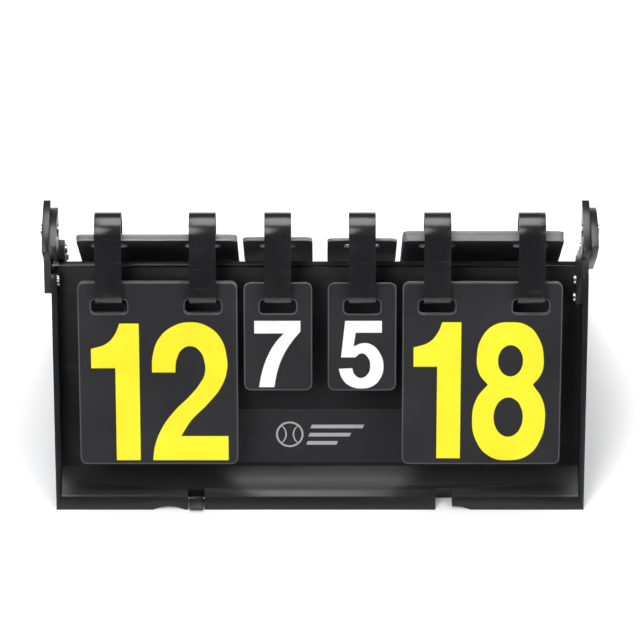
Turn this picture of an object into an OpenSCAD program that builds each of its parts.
// Folding flip scoreboard: two identical case halves hinged on two short pins, with
// leaves of numbers threaded on open rings fixed to the front half.
// Tray frame: u runs down a half from the hinge axis, v points out of its open face.

/* [Case] */
// Width of each case half
case_w = 384; // [340:1:420]
// Length of a case half from the hinge axis to the foot
case_len = 215; // [205:1:240]
// Depth of a case half
case_depth = 19; // [19:0.5:22]
// Thickness of the back panel
panel_t = 3; // [2.5:0.1:3]
// Thickness of each side wall
side_t = 4; // [4:0.1:5]
// Lean of each half from upright when it stands open
lean = 30; // [29:0.5:32]

/* [Hinge] */
// Radius of each hinge pin
pin_r = 3; // [2.5:0.1:3.5]
// Radial clearance between a pin and the ears
pin_gap = 0.05; // [0.02:0.01:0.1]
// Thickness of each hinge ear
ear_t = 5; // [4:0.1:5.2]

/* [Rings] */
// Width of a ring strap
ring_w = 19; // [16:0.5:20]
// Thickness of a ring strap
ring_t = 2.5; // [2:0.1:2.5]
// Distance of the outer rings from the middle
ring_outer_x = 150.5; // [148:0.5:153]
// Distance of the next rings from the middle
ring_inner_x = 83.5; // [81:0.5:85]
// Distance of the small leaves' rings from the middle
ring_small_x = 30; // [29.5:0.5:30.5]

/* [Leaves] */
// Thickness of one leaf
leaf_t = 0.22; // [0.15:0.01:0.24]
// Width of a large leaf
large_w = 114; // [106:1:115]
// Height of a large leaf
large_h = 139; // [120:1:140]
// Width of a small leaf
small_w = 49; // [44:1:50]
// Height of a small leaf
small_h = 82; // [70:1:100]
// Height of the strip of leaf above its slot
web_h = 13; // [11:0.1:13]
// Height of a slot
slot_h = 10.7; // [10.7:0.1:14]
// Width of a slot
slot_w = 26; // [22:0.5:28]

/* [Hidden] */
$fn = 64;
pin_h = case_len * cos(lean);
pin_head_t = 1.4;
half_w = case_w / 2;
top_u = case_depth / tan(lean) + 0.6;
large_x = (ring_outer_x + ring_inner_x) / 2 - 1;
// Loop of a ring, and the hook at the bottom of its strap
loop_v = 2;
loop_r = 13.5;
strap_v = loop_v + loop_r - ring_t;
hook_r = 7.75;
hook_v = strap_v + ring_t - hook_r;
hook_u = 44.5;
curl_angle = 235;
// Leaf stacks: outer face of the front ones, inner face of the back ones
front_face_v = 10;
back_face_v = -9;
front_slot_u = 48.9;
back_slot_u = 5.3;
lifted_gap = 0.02;
corner_r = 5;
// Leaves in each stack, from left to right as seen from the front
front_count = [18, 2, 4, 12];
back_count = [12, 7, 5, 18];
// Cut-outs at the rim, and the latch in one of them
latch_x = 90;
notch_w = 12;
latch_w = 10;
// Finger scoops under the rim: places along it, radius and depth
scoop_xs = [-110, 98];
scoop_r = 30;
scoop_deep = 2.4;
latch_v = -6.5;
latch_u = case_len - 6.7;
latch_pin_r = 1;
latch_gap = 0.05;
latch_r = 2.2;
latch_reach = 10.5;
latch_t = 2.6;
// Screws: [v, u] of the outer ear's and of the inner ear's
outer_screws = [[-5, 38], [-12, 43]];
inner_screws = [[-6, 39], [-8, 53]];
screw_r = 1.5;
head_r = 3.2;
head_t = 1.4;
label_w = 122;
label_t = 0.4;
label_u = [142, 184];

ring_xs = [-ring_outer_x, -ring_inner_x, -ring_small_x, ring_small_x, ring_inner_x, ring_outer_x];
black = [0.07, 0.07, 0.075];
leaf_black = [0.11, 0.11, 0.12];
steel = [0.75, 0.75, 0.77];

// A half stands on its foot with the hinge axis above the origin.
module front() { translate([0, 0, pin_h]) rotate([-lean, 0, 0]) children(); }
module back() { rotate([0, 0, 180]) front() children(); }

// Extrudes a [v, u] outline between two places along the hinge axis.
module along(x0, x1) {
    translate([x0, 0, 0]) rotate([-90, 0, -90]) linear_extrude(height = x1 - x0) children();
}
module round_along(x0, x1, r, v = 0, u = 0) { along(x0, x1) translate([v, u]) circle(r = r); }

// A point on the foot plane, d inwards from the rim and h above it.
function on_foot(d, h = 0) =
    [-d * cos(lean) + h * sin(lean), case_len - d * sin(lean) - h * cos(lean)];

module case_section() {
    inner_v = panel_t - case_depth;
    polygon([[-case_depth, top_u], [inner_v, top_u], [inner_v, case_len - 28],
        [-9.5, case_len - 20], [-1.5, case_len - 11.5], [0, case_len - 10.5],
        [0, case_len], on_foot(18), [-case_depth, case_len - 14]]);
}
module side_section() {
    polygon([[-case_depth, top_u], [-1, top_u], [0, top_u + 5], [0, case_len],
        on_foot(18), [-case_depth, case_len - 14]]);
}
module notch(x) {
    along(x - notch_w / 2, x + notch_w / 2)
        polygon([[-9.6, case_len - 15], [2, case_len - 15], [2, case_len + 3], [-9.6, case_len + 3]]);
}
// Shallow scoop in the foot's front edge, square to the table.
module scoop(x) {
    rotate([lean, 0, 0]) translate([x, -case_len * sin(lean) - 4, -pin_h - scoop_r + scoop_deep])
        rotate([-90, 0, 0]) cylinder(h = 12, r = scoop_r, $fn = 128);
}
module case_half() {
    difference() {
        union() {
            along(-half_w, half_w) case_section();
            for (s = [-1, 1])
                along(s * (half_w - side_t / 2) - side_t / 2, s * (half_w - side_t / 2) + side_t / 2)
                    side_section();
        }
        notch(-latch_x);
        notch(latch_x);
        for (x = scoop_xs) scoop(x);
        round_along(-latch_x - notch_w / 2 - 6, -latch_x + notch_w / 2 + 6, latch_pin_r, latch_v, latch_u);
        for (p = outer_screws) round_along(-half_w - 1, -half_w + side_t + 1, screw_r, p[0], p[1]);
        for (p = inner_screws) round_along(half_w - side_t - 1, half_w + 1, screw_r, p[0], p[1]);
    }
}

// Fan-shaped outline of a hinge ear, with its crown on one arc.
module ear_outline(low_u) {
    intersection() {
        polygon([[-case_depth, low_u], [-case_depth, 2], [-15.9, -17.6], [-8, -40], [40, -20],
            [18.6, 9.7], [2, 20.4], [-1, 26], [-1, low_u]]);
        translate([-23.5, 28.1]) circle(r = 46, $fn = 128);
    }
}
module ear_outer() {
    difference() {
        along(-half_w - ear_t, -half_w) ear_outline(48);
        round_along(-half_w - ear_t - 1, -half_w + 1, pin_r + pin_gap);
        for (p = outer_screws) round_along(-half_w - 3, -half_w + 1, screw_r, p[0], p[1]);
    }
}
module ear_inner() {
    tab = [half_w - side_t - ear_t, half_w - side_t];
    difference() {
        union() {
            along(half_w - ear_t - 0.2, half_w - 0.2) ear_outline(top_u - 0.3);
            along(tab[0], tab[1])
                polygon([[-15.5, 24], [-2, 24], [-2, 56], [-5, 59], [-12, 59], [-15.5, 56]]);
        }
        round_along(half_w - ear_t - 5, half_w + 1, pin_r + pin_gap);
        for (p = inner_screws) round_along(tab[0] - 1, tab[1] + 1, screw_r, p[0], p[1]);
    }
}
module ear_screws() {
    face = [-half_w + side_t, half_w - side_t - ear_t];
    for (p = outer_screws) {
        round_along(-half_w - 3, face[0], screw_r, p[0], p[1]);
        round_along(face[0], face[0] + head_t, head_r, p[0], p[1]);
    }
    for (p = inner_screws) {
        round_along(face[1], half_w - 1, screw_r, p[0], p[1]);
        round_along(face[1] - head_t, face[1], head_r, p[0], p[1]);
    }
}
module panel_label() {
    inner_v = panel_t - case_depth;
    along(-label_w / 2, label_w / 2) translate([inner_v, label_u[0]])
        square([label_t, label_u[1] - label_u[0]]);
}
module latch() {
    x = [-latch_x - latch_w / 2, -latch_x + latch_w / 2];
    difference() {
        along(x[0], x[1]) union() {
            translate([latch_v, latch_u]) circle(r = latch_r);
            translate([latch_v, latch_u]) rotate([0, 0, lean]) translate([0, -latch_t / 2])
                square([latch_reach, latch_t]);
        }
        round_along(x[0] - 1, x[1] + 1, latch_pin_r + latch_gap, latch_v, latch_u);
    }
}
module latch_pin() {
    round_along(-latch_x - notch_w / 2 - 6, -latch_x + notch_w / 2 + 6, latch_pin_r, latch_v, latch_u);
}

// A pin through each pair of ears, with a head at both of its ends.
pin_span = [half_w - ear_t - 0.4, half_w + ear_t + 0.2];
module hinge_pins() {
    color(steel) translate([0, 0, pin_h]) for (s = [-1, 1]) rotate([0, s * 90, 0])
        translate([0, 0, pin_span[0]]) cylinder(h = pin_span[1] - pin_span[0], r = pin_r);
}
module pin_heads() {
    color(steel) translate([0, 0, pin_h]) for (s = [-1, 1]) rotate([0, s * 90, 0]) {
        translate([0, 0, pin_span[1]]) cylinder(h = pin_head_t, r = pin_r + 1.4);
        translate([0, 0, pin_span[0] - pin_head_t]) cylinder(h = pin_head_t, r = pin_r + 1.4);
    }
}

// Sector of a plane around a centre, as a fan of points.
module sector(a0, a1, r) {
    polygon(concat([[0, 0]], [for (i = [0:6]) let (a = a0 + (a1 - a0) * i / 6) [r * cos(a), r * sin(a)]]));
}
module arc_band(r, a0, a1) {
    intersection() {
        difference() {
            circle(r = r, $fn = 96);
            circle(r = r - ring_t, $fn = 96);
        }
        sector(a0, a1, 3 * r);
    }
}
module ring_outline() {
    inner_v = panel_t - case_depth;
    translate([loop_v, 0]) arc_band(loop_r, -curl_angle, 0);
    translate([strap_v, 0]) square([ring_t, hook_u]);
    translate([hook_v, hook_u]) arc_band(hook_r, 0, 180);
    translate([hook_v - hook_r, hook_u - 4]) square([ring_t, 4.2]);
    translate([inner_v, hook_u - 4]) square([hook_v - hook_r - inner_v + 0.5, ring_t]);
    translate([inner_v, hook_u - 4]) square([ring_t, 20]);
}
module ring(i) {
    x = ring_xs[i];
    color(black) front() difference() {
        along(x - ring_w / 2, x + ring_w / 2) ring_outline();
        ring_screw_hole(x);
    }
}
// Screw through a ring's base into the panel, square to it.
module ring_screw_axis(x, v0, v1, r) {
    translate([x, -v1, -hook_u - 10]) rotate([-90, 0, 0]) cylinder(h = v1 - v0, r = r);
}
module ring_screw_hole(x) { ring_screw_axis(x, -case_depth + panel_t - 1, 0, screw_r); }
module ring_screws() {
    base_v = panel_t - case_depth + ring_t;
    color(steel) front() for (x = ring_xs) {
        ring_screw_axis(x, base_v - ring_t, base_v, screw_r);
        ring_screw_axis(x, base_v, base_v + head_t, head_r - 0.4);
    }
}

// A stack of leaves from v0 to v1, with its slot tops at slot_u.
module leaves(cx, w, h, slots, slot_u, v0, v1) {
    translate([cx, 0, 0]) rotate([90, 0, 0]) translate([0, 0, v0]) linear_extrude(height = v1 - v0)
        translate([0, -slot_u + web_h]) difference() {
            union() {
                translate([-w / 2 + corner_r, -h]) square([w - 2 * corner_r, h]);
                translate([-w / 2, -h + corner_r]) square([w, h - 2 * corner_r]);
                for (sx = [-1, 1], y = [-corner_r, -h + corner_r])
                    translate([sx * (w / 2 - corner_r), y]) circle(r = corner_r);
            }
            for (s = slots) translate([s - slot_w / 2, -web_h - slot_h]) square([slot_w, slot_h]);
        }
}
function is_large(i) = i == 0 || i == 3;
function stack_x(i) = [-large_x, -ring_small_x, ring_small_x, large_x][i];
function stack_slots(i) = is_large(i)
    ? [ring_xs[i == 0 ? 0 : 4] - stack_x(i), ring_xs[i == 0 ? 1 : 5] - stack_x(i)] : [0];
module stack(i, slot_u, v0, v1) {
    leaves(stack_x(i), is_large(i) ? large_w : small_w, is_large(i) ? large_h : small_h,
        stack_slots(i), slot_u, v0, v1);
}
module front_stack(i) {
    color(leaf_black) front()
        stack(i, front_slot_u, front_face_v - front_count[i] * leaf_t, front_face_v);
}
module front_leaf(i) {
    color(leaf_black) front() stack(i, front_slot_u, front_face_v + lifted_gap, front_face_v + leaf_t);
}
// The back half is turned round, so its stacks are laid out from the other side.
module back_stack(i) {
    color(leaf_black) back() mirror([1, 0, 0])
        stack(i, back_slot_u, back_face_v, back_face_v + back_count[i] * leaf_t);
}

module front_case() { color(black) front() case_half(); }
module front_ear_outer() { color(black) front() ear_outer(); }
module front_ear_inner() { color(black) front() ear_inner(); }
module front_ear_screws() { color(steel) front() ear_screws(); }
module front_label() { color(leaf_black) front() panel_label(); }
module front_latch() { color(black) front() latch(); }
module front_latch_pin() { color(steel) front() latch_pin(); }
module back_case() { color(black) back() case_half(); }
module back_ear_outer() { color(black) back() ear_outer(); }
module back_ear_inner() { color(black) back() ear_inner(); }
module back_ear_screws() { color(steel) back() ear_screws(); }
module back_label() { color(leaf_black) back() panel_label(); }
module back_latch() { color(black) back() latch(); }
module back_latch_pin() { color(steel) back() latch_pin(); }

front_case();
front_ear_outer();
front_ear_inner();
front_ear_screws();
front_label();
front_latch();
front_latch_pin();
back_case();
back_ear_outer();
back_ear_inner();
back_ear_screws();
back_label();
back_latch();
back_latch_pin();
hinge_pins();
pin_heads();
ring_screws();
for (i = [0:5]) ring(i);
for (i = [0:3]) front_stack(i);
for (i = [0:3]) front_leaf(i);
for (i = [0:3]) back_stack(i);
